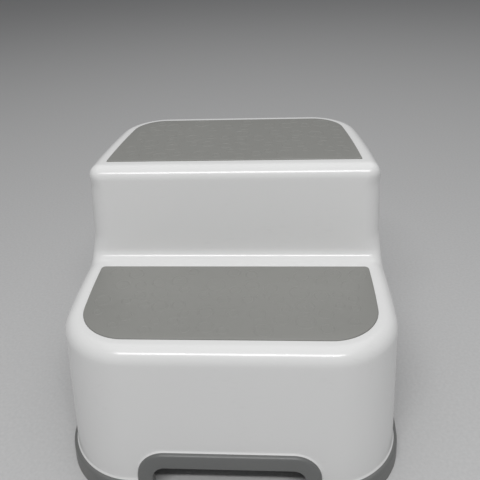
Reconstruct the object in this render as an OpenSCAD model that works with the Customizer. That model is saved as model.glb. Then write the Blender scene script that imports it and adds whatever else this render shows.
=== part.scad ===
// Two-step stool: a hollow moulded shell on a soft base ring, with a soft mat on each tread.
// The front faces -Y, the floor is z = 0 and the origin is the middle of the base.

/* [Overall] */
// Height from the floor to the top of the upper mat
total_h = 242.5; // [202:0.5:291]
// Width over the base ring at its widest
base_w = 322; // [268:1:390]
// Depth over the base ring
base_d = 351; // [292:1:422]

/* [Steps] */
// Height from the floor to the top of the lower mat
step_h = 150; // [125:0.5:180]
// Distance from the front of the base to the foot of the riser
riser_setback = 168.5; // [140:0.5:203]

/* [Shell form] */
// Lean of the front wall from the vertical, in degrees
front_lean = 9.6; // [4:0.2:12]
// Lean of the side walls from the vertical, in degrees
side_lean = 3.2; // [1:0.1:4]
// Lean of the back wall from the vertical, in degrees
back_lean = 3.3; // [1:0.1:4]
// Lean of the riser from the vertical, in degrees
riser_lean = 8.4; // [4:0.2:10]
// Radius of the outward bow of the side walls, seen from above
side_bow_r = 980; // [810:10:1180]
// Distance from the front of the base to the widest place of the sides
widest_setback = 144; // [120:1:181]
// Corner radius at the front, seen from above
front_corner_r = 57; // [47:1:69]
// Corner radius at the back, seen from above
back_corner_r = 45; // [37:1:54]
// Radius of the two upright corners of the riser, seen from above
riser_corner_r = 21; // [17:0.5:26]
// Radius of the upper edge round both treads
edge_r = 12; // [10:0.5:15]
// Radius of the hollow at the foot of the riser
foot_fillet_r = 10; // [7:0.5:13]

/* [Mouldings] */
// Thickness of the shell's walls
wall = 3; // [2.4:0.1:3.6]
// Thickness of the two decks under the mats
deck = 2.4; // [2:0.1:3.2]
// Thickness of the ribs under the decks
rib_t = 1.8; // [1.4:0.1:2.4]
// Depth of the ribs below the decks
rib_h = 10; // [8:1:14]

/* [Mats] */
// Thickness of a mat
mat_t = 2.2; // [1.8:0.1:2.8]
// How far a mat stands proud of the shell
mat_proud = 1; // [0.6:0.1:1.4]
// Width of the border between the shell's sharp edge line and a mat
mat_border = 17; // [14:0.5:20]
// Radius of the lower mat's two corners beside the riser
lower_mat_corner_r = 4; // [2:0.5:8]
// Radius of the upper mat's two corners beside the riser
upper_mat_corner_r = 1.5; // [1:0.5:4]
// Gap between a mat and the side of its recess
mat_gap = 0.2; // [0.1:0.05:0.4]

/* [Mat anchors] */
// Number of anchors in a row
anchor_count = 4; // [3:1:5]
// Distance from a mat's edges to its outer anchors
anchor_inset = 20; // [16:1:24]
// Diameter of an anchor's stem
stem_d = 6; // [5:0.5:8]
// Diameter of an anchor's head
head_d = 9; // [8.5:0.5:11]
// Height of an anchor's head
head_h = 4; // [3:0.5:6]
// Gap between a stem and the side of its hole
stem_gap = 0.15; // [0.1:0.05:0.3]

/* [Base ring] */
// Height of the ring at the feet, from the floor to the shell's lip
ring_h = 18; // [15:0.2:21.8]
// Width of the ring round the arches, from the shell's lip
arch_band = 13.8; // [11.6:0.2:16.6]
// How far the ring stands proud of the shell
ring_proud = 4.3; // [3.5:0.1:5.2]
// Thickness of the ring under the shell's rim
ring_web = 5; // [4:0.5:6]
// Thickness of the ring inside the shell
ring_inner = 2; // [1.6:0.1:3]
// Gap between the shell's rim and the sides of the ring's groove
groove_gap = 0.1; // [0.05:0.05:0.3]

/* [Arches] */
// Width of the front and back arches, to the shell's lip
arch_w = 162; // [135:1:195]
// Width of the side arches, to the shell's lip
side_arch_w = 150; // [125:1:180]
// Height of the arches, to the shell's lip
arch_h = 49.8; // [41.4:0.2:59.8]
// Upper corner radius of the arches, at the shell's lip
arch_r = 25; // [20.8:0.2:30]

/* [Smoothness] */
// Steps in a large corner
corner_steps = 10; // [6:1:14]
// Steps in the rounded upper edge
edge_steps = 5; // [3:1:8]

/* [Hidden] */

shell_white = "#e9e9ea";
mat_grey = "#8f9290";
ring_grey = "#6c7170";

// A thin slab for a hull's ends, an overlap that joins solids, and a reach past any outer face
slab = 0.01;
overlap = 0.5;
reach = 20;
side_steps = 8;
hole_fn = 32;

// The shell's sharp outer lines at the floor, before its corners are rounded
shell_hw = base_w / 2 - ring_proud;
front_y = -base_d / 2 + ring_proud;
back_y = base_d / 2 - ring_proud;
riser_y = -base_d / 2 + riser_setback;
widest_y = -base_d / 2 + widest_setback;

lower_deck_z = step_h - mat_proud;
upper_deck_z = total_h - mat_proud;
recess = mat_t - mat_proud;
deck_under = recess + deck;
cavity_r = edge_r - wall;
rim_z = ring_web + groove_gap;

// The upper step's block starts here, well above the ring, so one outline shapes the whole rim
upper_block_z = lower_deck_z / 2;

// Where each leaning wall's sharp line lies at height z
function front_at(z) = front_y + z * tan(front_lean);
function back_at(z) = back_y - z * tan(back_lean);
function riser_at(z) = riser_y + (z - lower_deck_z) * tan(riser_lean);
function side_at(y, z) = shell_hw - z * tan(side_lean) - pow(y - widest_y, 2) / (2 * side_bow_r);

// One corner of an outline: y runs from its end towards the middle as x runs out to the side
function corner(z, end_y, towards, r) = [
    for (i = [0 : corner_steps])
        let (a = 90 * i / corner_steps, y = end_y + towards * r * (1 - cos(a)))
        [side_at(y, z) - r * (1 - sin(a)), y]
];

// Right half of an outline at height z, from y0 to y1 with corner radii r0 and r1
function half_outline(z, y0, y1, r0, r1) = concat(
    corner(z, y0, 1, r0),
    [
        for (i = [1 : side_steps - 1])
            let (y = y0 + r0 + (y1 - r1 - y0 - r0) * i / side_steps)
            [side_at(y, z), y]
    ],
    reversed(corner(z, y1, -1, r1))
);

function reversed(list) = [for (i = [len(list) - 1 : -1 : 0]) list[i]];

// Whole outline, with every side moved in by inset
function outline(z, y0, y1, r0, r1, inset) =
    let (
        half = half_outline(z, y0 + inset, y1 - inset, r0 - inset, r1 - inset),
        right = [for (p = half) [p.x - inset, p.y]],
        left = [for (p = reversed(right)) [-p.x, p.y]]
    )
    concat(right, left);

function body_outline(z, inset) =
    outline(z, front_at(z), back_at(z), front_corner_r, back_corner_r, inset);

// The upper step's outline, with its front line moved forward to meet the lower tread
function upper_outline(z, inset, forward = 0) =
    outline(z, riser_at(z) - forward, back_at(z), riser_corner_r, back_corner_r, inset);

// A mat keeps the border's width from the sharp lines round its tread
function lower_mat_outline(inset) = outline(
    lower_deck_z, front_at(lower_deck_z), riser_y,
    front_corner_r, mat_border + lower_mat_corner_r, mat_border + inset);

function upper_mat_outline(inset) = outline(
    upper_deck_z, riser_at(upper_deck_z), back_at(upper_deck_z),
    mat_border + upper_mat_corner_r, back_corner_r, mat_border + inset);

// Front and back lines of each tread, and how far out its outermost anchors stand
lower_ys = [front_at(lower_deck_z), riser_y];
upper_ys = [riser_at(upper_deck_z), back_at(upper_deck_z)];
function anchor_reach(ys, z) = side_at(ys[1] - mat_border, z) - mat_border - anchor_inset;
function anchor_rows(ys) = [ys[0] + mat_border + anchor_inset, ys[1] - mat_border - anchor_inset];

// Height and inset of each level of a rounded upper edge that ends at height top
function edge_levels(top, r) = [
    for (i = [0 : edge_steps])
        let (a = 90 * i / edge_steps) [top - r + r * sin(a), r * (1 - cos(a))]
];

module level(z, inset, upper) {
    translate([0, 0, z])
        linear_extrude(slab)
            polygon(upper ? upper_outline(z, inset) : body_outline(z, inset));
}

// A block with leaning walls and a rounded upper edge: the whole body, or only the upper step
module block(inset, bottom, top, r, upper) {
    levels = concat([[bottom, 0]], edge_levels(top - slab, r));
    for (i = [0 : len(levels) - 2])
        hull() {
            level(levels[i].x, inset + levels[i].y, upper);
            level(levels[i + 1].x, inset + levels[i + 1].y, upper);
        }
}

// The hollow curve at the foot of the riser: up the rounded side edge to the deck's level,
// then back along an arc that is tangent to the deck and to the riser
module foot_fillet() {
    turn = 90 - riser_lean;
    tangent = foot_fillet_r * tan(turn / 2);
    levels = concat(
        [[lower_deck_z - edge_r, 0]],
        [
            for (i = [0 : edge_steps])
                let (a = turn * i / edge_steps, rise = foot_fillet_r * (1 - cos(a)))
                [lower_deck_z + rise, tangent - foot_fillet_r * sin(a) + rise * tan(riser_lean)]
        ]
    );
    for (i = [0 : len(levels) - 2])
        hull()
            for (at = [levels[i], levels[i + 1]])
                translate([0, 0, at.x])
                    linear_extrude(slab)
                        polygon(upper_outline(at.x, 0, at.y));
}

module body_outside() {
    block(0, 0, lower_deck_z, edge_r, false);
    block(0, upper_block_z, upper_deck_z, edge_r, true);
    foot_fillet();
}

module body_cavity() {
    block(wall, -slab, lower_deck_z - deck_under, cavity_r, false);
    block(wall, upper_block_z, upper_deck_z - deck_under, cavity_r, true);
}

// Ribs under one deck: one between each two anchors, and one across
module ribs(ys, deck_z, upper) {
    under = deck_z - deck_under;
    hw = anchor_reach(ys, deck_z);
    intersection() {
        translate([0, 0, under - rib_h])
            linear_extrude(rib_h + overlap) {
                for (i = [0 : anchor_count - 2])
                    translate([hw * ((2 * i + 1) / (anchor_count - 1) - 1) - rib_t / 2, ys[0]])
                        square([rib_t, ys[1] + (upper ? 0 : wall) - ys[0]]);
                translate([-base_w / 2, (ys[0] + ys[1] - rib_t) / 2])
                    square([base_w, rib_t]);
            }
        block(wall - overlap, 0, under + overlap, cavity_r + overlap, upper);
    }
}

module at_anchors(ys, deck_z) {
    hw = anchor_reach(ys, deck_z);
    for (i = [0 : anchor_count - 1], y = anchor_rows(ys))
        translate([hw * (2 * i / (anchor_count - 1) - 1), y, deck_z - recess])
            children();
}

module anchor_hole() {
    translate([0, 0, -deck - slab])
        cylinder(h = deck + 2 * slab, r = stem_d / 2 + stem_gap, $fn = hole_fn);
}

// Upright outline of an arch, with its edge moved in by inset
module arch_face(w, inset) {
    r = arch_r - inset;
    hw = w / 2 - inset;
    hull() {
        for (side = [-1, 1])
            translate([side * (hw - r), arch_h - inset - r])
                circle(r, $fn = 4 * corner_steps);
        translate([-hw, -reach])
            square([2 * hw, slab]);
    }
}

// The arches through the front and back walls and through the side walls
module arches(inset) {
    rotate([90, 0, 0])
        linear_extrude(base_d + 2 * reach, center = true)
            arch_face(arch_w, inset);
    rotate([90, 0, 90])
        linear_extrude(base_w + 2 * reach, center = true)
            arch_face(side_arch_w, inset);
}

module floor_slab(h) {
    translate([-base_w / 2 - reach, -base_d / 2 - reach, -reach])
        cube([base_w + 2 * reach, base_d + 2 * reach, h + reach]);
}

module shell() color(shell_white) {
    difference() {
        union() {
            difference() {
                body_outside();
                body_cavity();
            }
            ribs(lower_ys, lower_deck_z, false);
            ribs(upper_ys, upper_deck_z, true);
        }
        translate([0, 0, lower_deck_z - recess])
            linear_extrude(mat_t)
                polygon(lower_mat_outline(-mat_gap));
        translate([0, 0, upper_deck_z - recess])
            linear_extrude(mat_t)
                polygon(upper_mat_outline(-mat_gap));
        at_anchors(lower_ys, lower_deck_z) anchor_hole();
        at_anchors(upper_ys, upper_deck_z) anchor_hole();
        arches(arch_band - rim_z);
        floor_slab(rim_z);
    }
}

// A mat's anchor: a stem through the deck and a tapered head that snaps out below it
module anchor() {
    translate([0, 0, -deck - overlap])
        cylinder(h = deck + 2 * overlap, r = stem_d / 2, $fn = hole_fn);
    translate([0, 0, -deck - head_h])
        cylinder(h = head_h, r1 = stem_d / 3, r2 = head_d / 2, $fn = hole_fn);
}

module lower_tread_mat() color(mat_grey) {
    translate([0, 0, lower_deck_z - recess])
        linear_extrude(mat_t)
            polygon(lower_mat_outline(0));
    at_anchors(lower_ys, lower_deck_z) anchor();
}

module upper_tread_mat() color(mat_grey) {
    translate([0, 0, upper_deck_z - recess])
        linear_extrude(mat_t)
            polygon(upper_mat_outline(0));
    at_anchors(upper_ys, upper_deck_z) anchor();
}

// The wall's zone between two insets, from the floor to the top of the arches
module wall_zone(outer_inset, inner_inset, bottom) {
    difference() {
        hull() {
            level(bottom, outer_inset, false);
            level(arch_h, outer_inset, false);
        }
        hull() {
            level(bottom - slab, inner_inset, false);
            level(arch_h + slab, inner_inset, false);
        }
    }
}

// A channel that wraps the shell's rim, along the floor and up round each arch
module base_ring() color(ring_grey) {
    difference() {
        intersection() {
            wall_zone(-ring_proud, wall + groove_gap + ring_inner, 0);
            union() {
                floor_slab(ring_h);
                arches(0);
            }
        }
        arches(arch_band);
        difference() {
            wall_zone(-groove_gap, wall + groove_gap, ring_web);
            arches(arch_band - ring_web);
        }
    }
}

shell();
lower_tread_mat();
upper_tread_mat();
base_ring();
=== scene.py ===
import bpy
import bmesh
import numpy as np
from mathutils import Matrix, Vector


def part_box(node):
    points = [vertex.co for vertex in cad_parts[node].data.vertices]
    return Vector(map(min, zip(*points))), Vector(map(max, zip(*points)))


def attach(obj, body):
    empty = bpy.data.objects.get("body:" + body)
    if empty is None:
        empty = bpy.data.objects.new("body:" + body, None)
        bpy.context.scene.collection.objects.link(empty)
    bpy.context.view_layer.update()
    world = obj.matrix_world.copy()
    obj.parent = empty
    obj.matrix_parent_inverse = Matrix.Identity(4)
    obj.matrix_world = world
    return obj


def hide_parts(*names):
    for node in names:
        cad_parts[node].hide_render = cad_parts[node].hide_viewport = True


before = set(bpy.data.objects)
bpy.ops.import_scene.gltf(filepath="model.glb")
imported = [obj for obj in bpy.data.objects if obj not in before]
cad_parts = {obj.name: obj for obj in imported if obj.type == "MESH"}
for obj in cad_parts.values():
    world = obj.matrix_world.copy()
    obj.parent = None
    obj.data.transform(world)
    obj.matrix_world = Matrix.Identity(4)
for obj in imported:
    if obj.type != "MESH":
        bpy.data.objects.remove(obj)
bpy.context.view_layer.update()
mm = 0.001


# ---- Shell ----------------------------------------------------------------
# One hollow injection moulding in white polypropylene makes both steps, the riser and the
# four leaning walls. It comes off its mould downwards, so every wall is drafted. Each tread
# has a shallow recess with holes for its mat's anchors, and ribs on its underside.

ring_low, ring_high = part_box("base_ring")
ring_proud = 4.3 * mm
mat_proud = 1 * mm
lower_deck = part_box("lower_tread_mat")[1][2] - mat_proud
upper_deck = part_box("upper_tread_mat")[1][2] - mat_proud
front_foot = ring_low[1] + ring_proud
back_foot = ring_high[1] - ring_proud
side_foot = 156.7 * mm
riser_foot = front_foot + 164.2 * mm
widest_y = front_foot + 139.7 * mm
side_bow_r = 980 * mm
front_slope, side_slope, back_slope, riser_slope = np.tan(np.radians([9.6, 3.2, 3.3, 8.4]))
front_corner_r = 57 * mm
back_corner_r = 45 * mm
riser_corner_r = 21 * mm
edge_r = 12 * mm
foot_fillet_r = 10 * mm
wall = 3 * mm
mat_recess = 1.2 * mm
deck = 2.4 * mm
under_recess = mat_recess + deck
rim_z = 5.1 * mm


def front_at(z):
    return front_foot + z * front_slope


def back_at(z):
    return back_foot - z * back_slope


def riser_at(z):
    return riser_foot + (z - lower_deck) * riser_slope


def side_at(y, z):
    return side_foot - z * side_slope - (y - widest_y) ** 2 / (2 * side_bow_r)


def round_max(a, b, r):
    """Distance to what two surfaces enclose together, with their edge rounded to radius r."""
    outside = np.hypot(np.maximum(a + r, 0), np.maximum(b + r, 0))
    return outside + np.minimum(np.maximum(a, b) + r, 0) - r


def round_min(a, b, r):
    """Distance to what either of two surfaces encloses, with a hollow of radius r between them."""
    return np.maximum(np.minimum(a, b), r) - np.hypot(np.maximum(r - a, 0), np.maximum(r - b, 0))


def upper_edge_r(z):
    """Radius where walls and treads meet, larger at the riser's upright corners.

    It grows smoothly over the lowest quarter of the riser and shrinks over its highest."""
    t = np.clip((z - lower_deck) / (upper_deck - lower_deck), 0, 1)
    swell = np.clip(4 * np.minimum(t, 1 - t), 0, 1)
    return edge_r + (riser_corner_r - edge_r) * swell ** 2 * (3 - 2 * swell)


def walls_distance(x, y, z):
    """Distance to the four leaning walls, less than nothing between them."""
    side = np.abs(x) - side_at(y, z)
    front_and_side = round_max(side, front_at(z) - y, front_corner_r)
    return round_max(front_and_side, y - back_at(z), back_corner_r)


def shell_distance(x, y, z, wall_in=0.0, deck_in=0.0):
    """Distance to the shell's outer surface, or to one that lies inside it."""
    upper_step = round_max(riser_at(z) - y, z - upper_deck, edge_r)
    treads = round_min(z - lower_deck, upper_step, foot_fillet_r)
    return round_max(walls_distance(x, y, z) + wall_in, treads + deck_in, upper_edge_r(z) - wall_in)


# The skins are found along rays from a point inside the shell that sees every wall
eye = np.array([0, 75 * mm, 60 * mm])
ray_length = 400 * mm
halvings = 36
lowest_climb, highest_climb = -40, 90
climb_steps = 900
turn_steps = 2881


def surface_along(rays, start=eye, **skin):
    """Points where rays from inside the shell meet one of its skins."""
    near = np.zeros(rays.shape[:-1])
    far = np.full_like(near, ray_length)
    for _ in range(halvings):
        middle = (near + far) / 2
        p = start + rays * middle[..., None]
        inside = shell_distance(p[..., 0], p[..., 1], p[..., 2], **skin) < 0
        near = np.where(inside, middle, near)
        far = np.where(inside, far, middle)
    return start + rays * near[..., None]


def bend_measure(points, bend_r=20 * mm, shortest=1e-9):
    """Length along a line of points, plus bend_r for each radian that it turns."""
    step = np.diff(points, axis=0)
    length = np.linalg.norm(step, axis=1)
    unit = step / np.maximum(length, shortest)[:, None]
    turn = np.linalg.norm(np.diff(unit, axis=0), axis=1)
    return np.concatenate([[0], np.cumsum(length + bend_r * np.append(0, turn))])


def column_azimuths(count):
    """Directions round the shell, closer together where its walls bend."""
    azimuth = np.linspace(0, 2 * np.pi, turn_steps)
    flat = np.stack([np.cos(azimuth), np.sin(azimuth), 0 * azimuth], axis=1)
    total = 0
    low_on_the_wall = 0.3 * lower_deck
    halfway_up_the_riser = (lower_deck + upper_deck) / 2
    for height in (low_on_the_wall, halfway_up_the_riser):
        total = total + bend_measure(surface_along(flat, np.array([0, eye[1], height])))
    return np.interp(np.linspace(0, total[-1], count, endpoint=False), total, azimuth)


def skin_grid(azimuths, rows, **skin):
    """A skin as columns of points that rise from the rim to the middle of the upper deck."""
    climb = np.radians(np.linspace(lowest_climb, highest_climb, climb_steps))
    flat = np.stack([np.cos(azimuths), np.sin(azimuths), 0 * azimuths], axis=1)
    rays = flat[:, None, :] * np.cos(climb)[None, :, None]
    rays = rays + np.array([0, 0, 1]) * np.sin(climb)[None, :, None]
    grid = np.empty((len(azimuths), rows, 3))
    for column, points in zip(grid, surface_along(rays, **skin)):
        first = np.argmax(points[:, 2] > rim_z)
        low, high = points[first - 1], points[first]
        start = low + (high - low) * (rim_z - low[2]) / (high[2] - low[2])
        points = np.vstack([start, points[first:]])
        total = bend_measure(points)
        for axis in range(3):
            column[:, axis] = np.interp(np.linspace(0, total[-1], rows), total, points[:, axis])
    return grid


def shell_skins(columns=400, rows=140):
    """Outer and inner skins of the shell, joined along the rim."""
    azimuths = column_azimuths(columns)
    outer = skin_grid(azimuths, rows)
    inner = skin_grid(azimuths, rows, wall_in=wall, deck_in=under_recess)
    verts, faces = [], []
    climbing = rows - 1
    for grid, turn in ((outer, 1), (inner, -1)):
        start = len(verts)
        verts += grid[:, :-1].reshape(-1, 3).tolist()
        verts.append(grid[:, -1].mean(axis=0).tolist())
        pole = len(verts) - 1
        for i in range(columns):
            here = start + i * climbing
            there = start + (i + 1) % columns * climbing
            for k in range(climbing - 1):
                faces.append((here + k, there + k, there + k + 1, here + k + 1)[::turn])
            faces.append((here + climbing - 1, there + climbing - 1, pole)[::turn])
    inner_start = columns * climbing + 1
    for i in range(columns):
        here, there = i * climbing, (i + 1) % columns * climbing
        faces.append((there, here, inner_start + here, inner_start + there))
    return verts, faces


def new_piece(name, *solids):
    """One mesh object made of one or more solids, each a list of points and of faces."""
    verts, faces = [], []
    for points, sides in solids:
        first = len(verts)
        verts += [tuple(point) for point in points]
        faces += [tuple(first + i for i in side) for side in sides]
    mesh = bpy.data.meshes.new(name)
    mesh.from_pydata(verts, [], faces)
    bm = bmesh.new()
    bm.from_mesh(mesh)
    bmesh.ops.recalc_face_normals(bm, faces=bm.faces)
    bm.to_mesh(mesh)
    bm.free()
    piece = bpy.data.objects.new(name, mesh)
    bpy.context.collection.objects.link(piece)
    return piece


def smooth(piece, sharp_angle=35):
    """Smooth faces, with crisp edges where the surface turns sharply."""
    piece.data.shade_smooth()
    piece.data.set_sharp_from_angle(angle=np.radians(sharp_angle))


def combine(piece, operation, other):
    """Adds another object to a piece, or cuts it out of the piece."""
    modifier = piece.modifiers.new("combine", "BOOLEAN")
    modifier.operation = operation
    modifier.solver = "MANIFOLD"
    modifier.object = other
    seen = piece.evaluated_get(bpy.context.evaluated_depsgraph_get())
    mesh = bpy.data.meshes.new_from_object(seen)
    piece.modifiers.clear()
    piece.data = mesh
    bpy.data.objects.remove(other)


def prism(loops):
    """A solid between loops of equal length, with flat ends on the first and the last."""
    count = len(loops[0])
    verts = [point for loop in loops for point in loop]
    faces = [tuple(range(count)), tuple(range(len(verts) - count, len(verts)))]
    for start in range(0, len(verts) - count, count):
        for i in range(count):
            j = (i + 1) % count
            faces.append((start + i, start + j, start + count + j, start + count + i))
    return verts, faces


shell = new_piece("shell_moulding", shell_skins())

# The arches in the four walls, whose cut edges the base ring covers
ring_h = 18 * mm
arch_band = 13.8 * mm
arch_h = 49.8 * mm
arch_r = 25 * mm
end_arch_hw = 81 * mm
side_arch_hw = 75 * mm
past_wall = 20 * mm


def arch_outline(half_width, inset, steps=12):
    """Upright outline of an arch, as points across and up, from below the floor."""
    r = arch_r - inset
    bend = np.linspace(0, np.pi / 2, steps)
    across = half_width - inset - r + r * np.cos(bend)
    up = arch_h - arch_r + r * np.sin(bend)
    right = [(half_width - inset, -past_wall), *zip(across, up)]
    return right + [(-x, z) for x, z in reversed(right)]


end_arch = arch_outline(end_arch_hw, arch_band - rim_z)
side_arch = arch_outline(side_arch_hw, arch_band - rim_z)
arch_cuts = []
for face, inwards in ((front_foot, 1), (back_foot, -1)):
    reach_in_and_out = (face - inwards * past_wall, face + inwards * past_wall)
    arch_cuts.append(prism([[(x, y, z) for x, z in end_arch] for y in reach_in_and_out]))
for side in (-1, 1):
    reach_in_and_out = (side * (side_foot - past_wall), side * (side_foot + past_wall))
    arch_cuts.append(prism([[(x, y, z) for y, z in side_arch] for x in reach_in_and_out]))
combine(shell, "DIFFERENCE", new_piece("arch_cuts", *arch_cuts))

# Each mat lies in a recess, the same distance from its tread's sharp lines all the way round
mat_border = 17 * mm
mat_gap = 0.2 * mm


def tread_outline(z, y0, y1, r0, r1, inset, steps=20):
    """Outline at height z between two lines across the shell, with every side moved in."""
    bend = np.linspace(0, np.pi / 2, steps)
    half = []
    for end, towards, r in ((y0, 1, r0 - inset), (y1, -1, r1 - inset)):
        y = end + towards * (inset + r * (1 - np.cos(bend)))
        x = side_at(y, z) - inset - r * (1 - np.sin(bend))
        half.append(list(zip(x, y)))
    between = np.linspace(half[0][-1][1], half[1][-1][1], steps)[1:-1]
    straight = [(side_at(y, z) - inset, y) for y in between]
    right = half[0] + straight + half[1][::-1]
    return right + [(-x, y) for x, y in reversed(right)]


# Height, front line, back line, and the outline's corner radii in front and at the back
lower_mat_corner_r = 4 * mm
upper_mat_corner_r = 1.5 * mm
treads = {
    "lower": (lower_deck, front_at(lower_deck), riser_foot,
              front_corner_r, mat_border + lower_mat_corner_r),
    "upper": (upper_deck, riser_at(upper_deck), back_at(upper_deck),
              mat_border + upper_mat_corner_r, back_corner_r),
}
for tread in treads.values():
    outline = tread_outline(*tread, mat_border - mat_gap)
    recess = [[(x, y, tread[0] + rise) for x, y in outline] for rise in (-mat_recess, mat_recess)]
    combine(shell, "DIFFERENCE", new_piece("mat_recess", prism(recess)))

# Two rows of holes in each deck, which the mats' anchors snap into
anchor_count = 4
anchor_inset = 20 * mm
hole_r = 3.15 * mm
hole_end = 0.5 * mm


def anchor_places(tread):
    z, y0, y1 = tread[:3]
    inset = mat_border + anchor_inset
    half_row = side_at(y1 - mat_border, z) - inset
    row = np.linspace(-half_row, half_row, anchor_count)
    return [(x, y, z - mat_recess) for y in (y0 + inset, y1 - inset) for x in row]


def lathe(centre, profile, steps=24):
    """A round solid from pairs of radius and height, capped at both ends."""
    turn = np.linspace(0, 2 * np.pi, steps, endpoint=False)
    ring = np.stack([np.cos(turn), np.sin(turn), 0 * turn], axis=1)
    up = np.array([0, 0, 1])
    return prism([(np.array(centre) + ring * r + up * z).tolist() for r, z in profile])


for tread in treads.values():
    hole = ((hole_r, -deck - hole_end), (hole_r, hole_end))
    holes = [lathe(place, hole) for place in anchor_places(tread)]
    combine(shell, "DIFFERENCE", new_piece("anchor_holes", *holes))

# Ribs under each deck: one between each two anchors, and one across. Each ends in the middle
# of the thickness of the wall that it meets
rib_t = 1.8 * mm
rib_h = 10 * mm
middle_skin = {"wall_in": wall / 2, "deck_in": mat_recess + deck / 2}


def rib(along, middle, deck_z, free_end=None, steps=14):
    """An upright plate that runs in one direction through the middle of the shell."""
    heights = np.linspace(deck_z - under_recess - rib_h, deck_z - mat_recess - deck / 2, steps)
    starts = np.array([[middle[0], middle[1], z] for z in heights[:-1]])
    direction = np.array(along, dtype=float)
    near_end = surface_along(np.tile(-direction, (len(starts), 1)), starts, **middle_skin)
    far_end = surface_along(np.tile(direction, (len(starts), 1)), starts, **middle_skin)
    if free_end is not None:
        far_end[:, 1] = free_end
    outline = np.vstack([near_end, far_end[::-1]])
    sideways = np.array([along[1], along[0], 0]) * rib_t / 2
    return prism([(outline - sideways).tolist(), (outline + sideways).tolist()])


for name, (deck_z, y0, y1, *_) in treads.items():
    anchors = sorted({place[0] for place in anchor_places(treads[name])[:anchor_count]})
    middle_y = (y0 + y1) / 2
    free_end = riser_foot + wall if name == "lower" else None
    lengthways = []
    for left, right in zip(anchors, anchors[1:]):
        lengthways.append(rib((0, 1, 0), ((left + right) / 2, middle_y), deck_z, free_end))
    combine(shell, "UNION", new_piece("ribs_lengthways", *lengthways))
    combine(shell, "UNION", new_piece("rib_across", rib((1, 0, 0), (0, middle_y), deck_z)))

# The wall unrolled: length round the shell from the middle of the front, height, distance out
front_end = side_at(front_foot, 0) - front_corner_r
back_end = side_at(back_foot, 0) - back_corner_r
side_start = front_foot + front_corner_r
side_end = back_foot - back_corner_r
bends = (0, front_corner_r * np.pi / 2, side_end - side_start, back_corner_r * np.pi / 2, back_end)
lap_marks = front_end + np.cumsum(bends)
half_lap = lap_marks[-1]
side_arch_lap = lap_marks[1] - side_start


def wall_point(lap, z, out):
    """A point at some length round the wall, at height z, and outwards from the wall."""
    lap = lap % (2 * half_lap)
    side = 1 if lap <= half_lap else -1
    lap = min(lap, 2 * half_lap - lap)
    if lap < lap_marks[0]:
        y = front_at(z) - out
        corner_x = side_at(front_at(z), z) - front_corner_r
        x = np.interp(lap, (0, end_arch_hw, front_end), (0, end_arch_hw, corner_x))
    elif lap < lap_marks[1]:
        turn = (lap - lap_marks[0]) / front_corner_r
        r = front_corner_r + out
        y = front_at(z) - out + r * (1 - np.cos(turn))
        x = side_at(y, z) + out - r * (1 - np.sin(turn))
    elif lap < lap_marks[2]:
        from_middle = lap - side_arch_lap
        nominal = (side_start, -side_arch_hw, side_arch_hw, side_end)
        real = (front_at(z) + front_corner_r, -side_arch_hw, side_arch_hw, back_at(z) - back_corner_r)
        y = np.interp(from_middle, nominal, real)
        x = side_at(y, z) + out
    elif lap < lap_marks[3]:
        turn = (lap_marks[3] - lap) / back_corner_r
        r = back_corner_r + out
        y = back_at(z) + out - r * (1 - np.cos(turn))
        x = side_at(y, z) + out - r * (1 - np.sin(turn))
    else:
        y = back_at(z) + out
        corner_x = side_at(back_at(z), z) - back_corner_r
        x = np.interp(half_lap - lap, (0, end_arch_hw, back_end), (0, end_arch_hw, corner_x))
    return side * x, y, z


def seam_stations(spacing=2.5 * mm, bend_steps=13, leg_steps=4, top_steps=24):
    """The line where shell and ring meet, with the ring's direction away from it at each place."""
    stations = []
    middles = (0, side_arch_lap, half_lap, 2 * half_lap - side_arch_lap)
    half_widths = (end_arch_hw, side_arch_hw, end_arch_hw, side_arch_hw)
    bend = np.linspace(0, np.pi / 2, bend_steps)
    narrow = arch_band / ring_h
    for n, (middle, hw) in enumerate(zip(middles, half_widths)):
        over_arch = [(-hw, ring_h, narrow, -1)]
        leg = np.linspace(ring_h, arch_h - arch_r, leg_steps)[1:-1]
        over_arch += [(-hw, z, narrow, 0) for z in leg]
        for a in bend:
            x, z = -hw + arch_r * (1 - np.cos(a)), arch_h - arch_r * (1 - np.sin(a))
            over_arch.append((x, z, narrow * np.cos(a), -narrow * np.sin(a)))
        tops = np.linspace(-hw + arch_r, hw - arch_r, top_steps)[1:-1]
        back_down = [(-x, z, -dx, dz) for x, z, dx, dz in reversed(over_arch)]
        over_arch += [(x, arch_h, 0, -narrow) for x in tops] + back_down
        stations += [(middle + x, z, dx, dz) for x, z, dx, dz in over_arch]
        start = middle + hw
        after = (n + 1) % len(middles)
        end = (middles[after] - half_widths[after]) % (2 * half_lap)
        laps = np.linspace(start, end, int((end - start) / spacing))[1:-1]
        stations += [(lap, ring_h, 0, -1) for lap in laps]
    return stations


def along_seam(section):
    """A closed band whose section is in pairs: distance out, and distance from the seam."""
    stations = seam_stations()
    count, around = len(section), len(stations)
    verts, faces = [], []
    for lap, z, to_lap, to_z in stations:
        verts += [wall_point(lap + b * to_lap, z + b * to_z, out) for out, b in section]
    for i in range(around):
        here, there = i * count, (i + 1) % around * count
        for k in range(count):
            m = (k + 1) % count
            faces.append((here + k, there + k, there + m, here + m))
    return verts, faces


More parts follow.
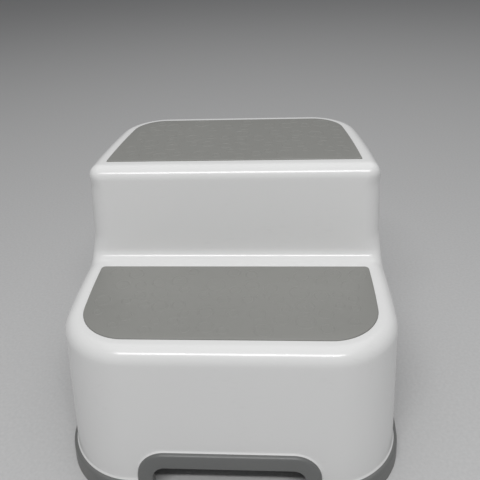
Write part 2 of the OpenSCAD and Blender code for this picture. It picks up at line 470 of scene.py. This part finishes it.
# The lip: the wall flares out just above the ring and ends in a small rounded edge
lip_out = 1.1 * mm
lip_h = 2.8 * mm
lip_tip = 0.6 * mm
sunk = 0.05 * mm
flare = [(lip_out * t ** 2 - sunk, -lip_h + (lip_h - lip_tip) * t) for t in np.linspace(0, 1, 7)]
tip = [(lip_out - lip_tip / 2 * (1 - np.sin(a)), -lip_tip / 2 - lip_tip / 2 * np.cos(a))
       for a in np.linspace(np.pi / 2, np.pi, 5)]
lip_section = [(-wall / 2, -lip_h)] + flare + tip[1:] + [(-wall / 2, 0)]
combine(shell, "UNION", new_piece("lip", along_seam(lip_section)))
smooth(shell)

white = (0.80, 0.80, 0.795)


def add_node(tree, kind, **sockets):
    """A node whose inputs are given values, or links from other nodes' outputs."""
    node = tree.nodes.new(kind)
    for name, value in sockets.items():
        socket = node.inputs[name]
        if isinstance(value, bpy.types.NodeSocket):
            tree.links.new(value, socket)
        else:
            socket.default_value = value
    return node


def new_group(name, inputs, outputs):
    """A shader node group with its sockets, and its input and output nodes."""
    tree = bpy.data.node_groups.new(name, "ShaderNodeTree")
    for title, kind, value in inputs:
        socket = tree.interface.new_socket(title, in_out="INPUT", socket_type=kind)
        socket.default_value = value
    for title, kind in outputs:
        tree.interface.new_socket(title, in_out="OUTPUT", socket_type=kind)
    return tree, tree.nodes.new("NodeGroupInput"), tree.nodes.new("NodeGroupOutput")


def math_node(tree, operation, *values):
    node = tree.nodes.new("ShaderNodeMath")
    node.operation = operation
    for socket, value in zip(node.inputs, values):
        if isinstance(value, bpy.types.NodeSocket):
            tree.links.new(value, socket)
        else:
            socket.default_value = value
    return node.outputs[0]


def noise(tree, place, scale, detail=2.0):
    """Noise from about -0.5 to 0.5 with a feature size of 1 / scale metres."""
    node = add_node(tree, "ShaderNodeTexNoise", Vector=place, Scale=scale, Detail=detail)
    return math_node(tree, "SUBTRACT", node.outputs["Fac"], 0.5)


# Feature scales of the surface's noises, per metre
tone_scale = 9.0
wave_scale = 35.0
streak_scale = 90.0
patch_scale = 14.0
streak_stretch = (1.0, 7.0, 3.0)
# How the noises add up
patches_in_streaks = 0.6
rub_starts, rub_full = 0.14, 0.3
rubbed_darkens = 0.25
dust_fall = -60.0
dust_everywhere = 0.7
dust_roughens = 0.5
tone_roughens = 0.05


def moulded_surface():
    """Grain, uneven tone, rubbed marks and dust near the floor, as on a used moulding."""
    tree, given, result = new_group(
        "moulded_surface",
        [("Colour", "NodeSocketColor", (1, 1, 1, 1)), ("Uneven Tone", "NodeSocketFloat", 0.04),
         ("Dust Colour", "NodeSocketColor", (0.3, 0.28, 0.25, 1)), ("Dust", "NodeSocketFloat", 0.2),
         ("Roughness", "NodeSocketFloat", 0.3), ("Rubbed", "NodeSocketFloat", 0.1),
         ("Grain Scale", "NodeSocketFloat", 900.0), ("Grain", "NodeSocketFloat", 1.0),
         ("Waviness", "NodeSocketFloat", 1.0)],
        [("Colour", "NodeSocketColor"), ("Roughness", "NodeSocketFloat"), ("Height", "NodeSocketFloat")],
    )
    place = tree.nodes.new("ShaderNodeTexCoord").outputs["Object"]
    tone = noise(tree, place, tone_scale)
    grain = noise(tree, place, given.outputs["Grain Scale"], detail=1.0)
    waves = noise(tree, place, wave_scale)
    # Rubbed marks: short streaks in patches
    stretched = add_node(tree, "ShaderNodeMapping", Vector=place, Scale=streak_stretch)
    streaks = noise(tree, stretched.outputs["Vector"], streak_scale, detail=4.0)
    patches = noise(tree, place, patch_scale)
    in_patches = math_node(tree, "MULTIPLY", patches, patches_in_streaks)
    streaks = math_node(tree, "ADD", streaks, in_patches)
    rubbed = add_node(tree, "ShaderNodeMapRange", Value=streaks)
    for name, value in (("From Min", rub_starts), ("From Max", rub_full)):
        rubbed.inputs[name].default_value = value
    rubbed = math_node(tree, "MULTIPLY", rubbed.outputs["Result"], given.outputs["Rubbed"])
    # Dust thins out with height above the floor
    height = tree.nodes.new("ShaderNodeSeparateXYZ")
    tree.links.new(place, height.inputs["Vector"])
    low = math_node(tree, "EXPONENT", math_node(tree, "MULTIPLY", height.outputs["Z"], dust_fall))
    uneven = math_node(tree, "ADD", patches, dust_everywhere)
    dusty = math_node(tree, "MULTIPLY", low, uneven)
    dusty = math_node(tree, "MULTIPLY", dusty, given.outputs["Dust"])

    brightness = math_node(tree, "MULTIPLY", tone, given.outputs["Uneven Tone"])
    brightness = math_node(tree, "ADD", brightness, 1.0)
    darker = math_node(tree, "MULTIPLY", rubbed, rubbed_darkens)
    brightness = math_node(tree, "SUBTRACT", brightness, darker)
    toned = add_node(tree, "ShaderNodeHueSaturation", Color=given.outputs["Colour"], Value=brightness)
    # The colour sockets of a mix node are its inputs 6 and 7, and its output 2
    mix = add_node(tree, "ShaderNodeMix")
    mix.data_type = "RGBA"
    factor, first, second = (mix.inputs[i] for i in (0, 6, 7))
    tree.links.new(dusty, factor)
    tree.links.new(toned.outputs["Color"], first)
    tree.links.new(given.outputs["Dust Colour"], second)
    tree.links.new(mix.outputs[2], result.inputs["Colour"])

    rough = math_node(tree, "ADD", given.outputs["Roughness"], rubbed)
    rough = math_node(tree, "ADD", rough, math_node(tree, "MULTIPLY", dusty, dust_roughens))
    rough = math_node(tree, "ADD", rough, math_node(tree, "MULTIPLY", tone, tone_roughens))
    tree.links.new(rough, result.inputs["Roughness"])

    height = math_node(tree, "MULTIPLY", grain, given.outputs["Grain"])
    height = math_node(tree, "ADD", height, math_node(tree, "MULTIPLY", waves, given.outputs["Waviness"]))
    tree.links.new(height, result.inputs["Height"])
    return tree


moulded = moulded_surface()


def moulded_material(name, depth, surface, **shader_values):
    """A material whose colour, roughness and relief come from the moulded surface."""
    material = bpy.data.materials.new(name)
    material.use_nodes = True
    tree = material.node_tree
    shader = tree.nodes["Principled BSDF"]
    effect = tree.nodes.new("ShaderNodeGroup")
    effect.node_tree = moulded
    for title, value in surface.items():
        effect.inputs[title].default_value = value
    bump = add_node(tree, "ShaderNodeBump", Height=effect.outputs["Height"], Distance=depth)
    tree.links.new(effect.outputs["Colour"], shader.inputs["Base Color"])
    tree.links.new(effect.outputs["Roughness"], shader.inputs["Roughness"])
    tree.links.new(bump.outputs["Normal"], shader.inputs["Normal"])
    for title, value in shader_values.items():
        shader.inputs[title.replace("_", " ")].default_value = value
    return material


# Glossy white polypropylene: almost smooth, with a slow waviness that bends its highlights
shell.data.materials.clear()
shell.data.materials.append(moulded_material(
    "white_polypropylene", 0.06 * mm,
    {"Colour": (*white, 1), "Uneven Tone": 0.03, "Dust Colour": (0.45, 0.43, 0.40, 1), "Dust": 0.25,
     "Roughness": 0.19, "Rubbed": 0.08, "Grain Scale": 1600.0, "Grain": 0.15, "Waviness": 1.5},
    IOR=1.49))
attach(shell, "root")
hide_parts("shell")


# ---- Tread mats -----------------------------------------------------------
# A soft grey rubber mat lies in the recess of each tread, a little proud of it. Its anchors
# are moulded on its underside and snap through the deck. Low raised rings give grip.

mat_edge_r = 0.7 * mm
stem_r = 3 * mm
head_r = 4.5 * mm
head_h = 4 * mm
head_lip = 0.6 * mm
nose_r = 2.025 * mm
nose_h = 3.6 * mm
tip_r = 1.35 * mm
into_mat = 0.5 * mm
ridge_w = 1.8 * mm
ridge_h = 0.25 * mm
large_ring_r = 9.5 * mm
small_ring_r = 3.5 * mm
studded_r = 7.5 * mm
stud_r = 1.6 * mm
mark_pitch = 20 * mm
mark_gap = 3 * mm
mat_margin = 3 * mm
stud_turn = 1.5
mat_sharp_angle = 24


def mat_slab(tread):
    """The mat itself, with a rounded upper edge."""
    z, inset = tread[0], mat_border
    levels = [(-mat_recess, 0), (mat_proud - mat_edge_r, 0)]
    for a in np.linspace(0, np.pi / 2, 5)[1:]:
        levels.append((mat_proud - mat_edge_r * (1 - np.sin(a)), mat_edge_r * (1 - np.cos(a))))
    loops = []
    for rise, edge_inset in levels:
        loop = tread_outline(*tread, inset + edge_inset)
        loops.append([(x, y, z + rise) for x, y in loop])
    return prism(loops)


def raised_ring(x, y, z, r, steps=56, arc_steps=7):
    """A ridge in a circle, with a shallow arc for its section, sunk into the mat's face."""
    foot_angle = 2 * np.arctan(2 * ridge_h / ridge_w)
    arc_r = ridge_w / 2 / np.sin(foot_angle)
    bend = np.linspace(foot_angle, -foot_angle, arc_steps)
    section = [(r + arc_r * np.sin(a), arc_r * (np.cos(a) - np.cos(foot_angle))) for a in bend]
    section = [(section[0][0], -ridge_h)] + section + [(section[-1][0], -ridge_h)]
    turn = np.linspace(0, 2 * np.pi, steps, endpoint=False)
    verts = [(x + d * np.cos(a), y + d * np.sin(a), z + rise) for a in turn for d, rise in section]
    n = len(section)
    faces = []
    for i in range(steps):
        here, there = i * n, (i + 1) % steps * n
        faces += [(here + k, here + (k + 1) % n, there + (k + 1) % n, there + k) for k in range(n)]
    return verts, faces


def grip_pattern(tread, seed):
    """Rings of several sizes, scattered evenly over the tread, some of them round a stud."""
    z, y0, y1 = tread[:3]
    scatter = np.random.default_rng(seed)
    face = z + mat_proud
    marks, centres = [], []
    for row in np.arange(y0 + mat_border, y1 - mat_border, mark_pitch / 2):
        for column in np.arange(-side_foot, side_foot, mark_pitch / 2):
            y, x = np.array([row, column]) + scatter.uniform(-1, 1, 2) * mark_pitch / 4
            r = scatter.uniform(small_ring_r, large_ring_r)
            room = min(y - y0, y1 - y, -walls_distance(x, y, z)) - mat_border - mat_margin
            clear = all(np.hypot(x - cx, y - cy) > r + cr + mark_gap for cx, cy, cr in centres)
            if room < r or not clear:
                continue
            centres.append((x, y, r))
            marks.append(raised_ring(x, y, face, r))
            if r > studded_r:
                bend = np.linspace(0, stud_turn, 5)
                dome = [(stud_r * np.cos(a), ridge_h * np.sin(a)) for a in bend]
                marks.append(lathe((x, y, face), [(stud_r, -ridge_h)] + dome))
    return marks


def anchor(place):
    """Stem through the deck, and a head that tapers downwards to enter its hole."""
    profile = [(stem_r, into_mat), (stem_r, -deck), (head_r, -deck), (head_r, -deck - head_lip)]
    profile += [(nose_r, -deck - nose_h), (tip_r, -deck - head_h)]
    return lathe(place, profile)


mat_material = moulded_material(
    "mat_rubber", 0.10 * mm,
    {"Colour": (0.262, 0.262, 0.247, 1), "Uneven Tone": 0.10, "Dust Colour": (0.4, 0.39, 0.37, 1),
     "Dust": 0.1, "Roughness": 0.40, "Rubbed": 0.12, "Grain Scale": 1100.0, "Grain": 1.0, "Waviness": 0.6},
    IOR=1.5)
for seed, (name, tread) in enumerate(treads.items()):
    mat = new_piece(name + "_tread_mat_moulding", mat_slab(tread))
    combine(mat, "UNION", new_piece("anchors", *map(anchor, anchor_places(tread))))
    combine(mat, "UNION", new_piece("grip_marks", *grip_pattern(tread, seed)))
    smooth(mat, mat_sharp_angle)
    mat.data.materials.clear()
    mat.data.materials.append(mat_material)
    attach(mat, "root")
    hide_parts(name + "_tread_mat")


# ---- Base ring ------------------------------------------------------------
# One soft ring of darker grey rubber is pushed on over the shell's rim. It wraps the rim on
# both sides, follows it over the four arches, and is all that touches the floor.

ring_inside = 2 * mm
ring_web = 5 * mm
groove_gap = 0.1 * mm
groove_end = ring_h - ring_web
shoulder_r = 3.4 * mm
foot_r = 1 * mm
inner_edge_r = 0.8 * mm
inner_face = -wall - groove_gap - ring_inside


def round_corners(corners, steps=5):
    """A section's outline from its corners, each given as out, along and radius."""
    outline = []
    for n, (out, along, r) in enumerate(corners):
        here = np.array([out, along])
        if r == 0:
            outline.append(here)
            continue
        before, after = (np.array(corners[(n + d) % len(corners)][:2]) - here for d in (-1, 1))
        before, after = before / np.linalg.norm(before), after / np.linalg.norm(after)
        half_angle = np.arccos(np.clip(before @ after, -1, 1)) / 2
        reach = r / np.tan(half_angle)
        start, end = here + before * reach, here + after * reach
        for t in np.linspace(0, 1, steps):
            outline.append((1 - t) ** 2 * start + 2 * t * (1 - t) * here + t ** 2 * end)
    return outline


ring_section = round_corners([
    (groove_gap, 0, 0),
    (ring_proud, 0, shoulder_r),
    (ring_proud, ring_h, foot_r),
    (inner_face, ring_h, foot_r),
    (inner_face, 0, inner_edge_r),
    (-wall - groove_gap, 0, 0),
    (-wall - groove_gap, groove_end, 0),
    (groove_gap, groove_end, 0),
])
ring = new_piece("base_ring_moulding", along_seam(ring_section))
smooth(ring)
ring.data.materials.append(moulded_material(
    "ring_rubber", 0.10 * mm,
    {"Colour": (0.150, 0.154, 0.152, 1), "Uneven Tone": 0.12, "Dust Colour": (0.33, 0.31, 0.29, 1),
     "Dust": 0.35, "Roughness": 0.36, "Rubbed": 0.15, "Grain Scale": 1100.0, "Grain": 1.0, "Waviness": 0.6},
    IOR=1.5))
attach(ring, "root")
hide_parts("base_ring")


# ---- Floor, light and camera ----------------------------------------------
# A pale floor with a fine speckle, a broad soft light overhead and a long narrow one in
# front, and a camera that looks down on the steps from close in front of the stool.

floor_reach = 8.0
speckle_scale = 300.0
floor_grey = (("To Min", 0.50), ("To Max", 0.60))
floor_roughness = 0.7
floor_mesh = bpy.data.meshes.new("floor")
floor_corners = [(x * floor_reach, y * floor_reach, 0) for x, y in ((-1, -1), (1, -1), (1, 1), (-1, 1))]
floor_mesh.from_pydata(floor_corners, [], [(0, 1, 2, 3)])
floor = bpy.data.objects.new("floor", floor_mesh)
bpy.context.collection.objects.link(floor)
floor_paint = bpy.data.materials.new("floor_paint")
floor_paint.use_nodes = True
tree = floor_paint.node_tree
shader = tree.nodes["Principled BSDF"]
place = tree.nodes.new("ShaderNodeTexCoord").outputs["Object"]
speckle = add_node(tree, "ShaderNodeTexNoise", Vector=place, Scale=speckle_scale, Detail=2.0)
paint = tree.nodes.new("ShaderNodeMapRange")
for title, value in floor_grey:
    paint.inputs[title].default_value = value
tree.links.new(speckle.outputs["Fac"], paint.inputs["Value"])
tree.links.new(paint.outputs["Result"], shader.inputs["Base Color"])
shader.inputs["Roughness"].default_value = floor_roughness
floor.data.materials.append(floor_paint)


def area_light(name, at, towards, size, power):
    data = bpy.data.lights.new(name, "AREA")
    data.shape = "RECTANGLE"
    data.size, data.size_y = size
    data.energy = power
    lamp = bpy.data.objects.new(name, data)
    bpy.context.collection.objects.link(lamp)
    lamp.location = at
    lamp.rotation_euler = (Vector(towards) - Vector(at)).to_track_quat("-Z", "Y").to_euler()


world = bpy.data.worlds.new("studio")
bpy.context.scene.world = world
world.use_nodes = True
background = world.node_tree.nodes["Background"]
background.inputs["Color"].default_value = (0.97, 0.98, 1.0, 1)
background.inputs["Strength"].default_value = 0.18
area_light("overhead", at=(0.1, 0.0, 2.1), towards=(0, 0, 0.1), size=(3.0, 2.4), power=21)
area_light("front_strip", at=(0, -1.0, 1.65), towards=(0, -0.05, 0.15), size=(1.4, 0.09), power=15)
# The plain view transform keeps the white plastic white
bpy.context.scene.view_settings.view_transform = "Standard"

camera_data = bpy.data.cameras.new("camera")
camera = bpy.data.objects.new("camera", camera_data)
bpy.context.collection.objects.link(camera)
bpy.context.scene.camera = camera
camera_data.sensor_width = 36
camera_data.lens = 39.65
camera_at = (0.0382, -0.452, 0.4449)
yaw, pitch, roll = np.radians([-4.09, 31.67, -2.29])
ahead = Vector((np.sin(yaw) * np.cos(pitch), np.cos(yaw) * np.cos(pitch), -np.sin(pitch)))
level_right = Vector((np.cos(yaw), -np.sin(yaw), 0))
level_up = level_right.cross(ahead)
right = level_right * np.cos(roll) + level_up * np.sin(roll)
up = level_up * np.cos(roll) - level_right * np.sin(roll)
turned = Matrix((right, up, -ahead)).transposed().to_4x4()
camera.matrix_world = Matrix.Translation(camera_at) @ turned
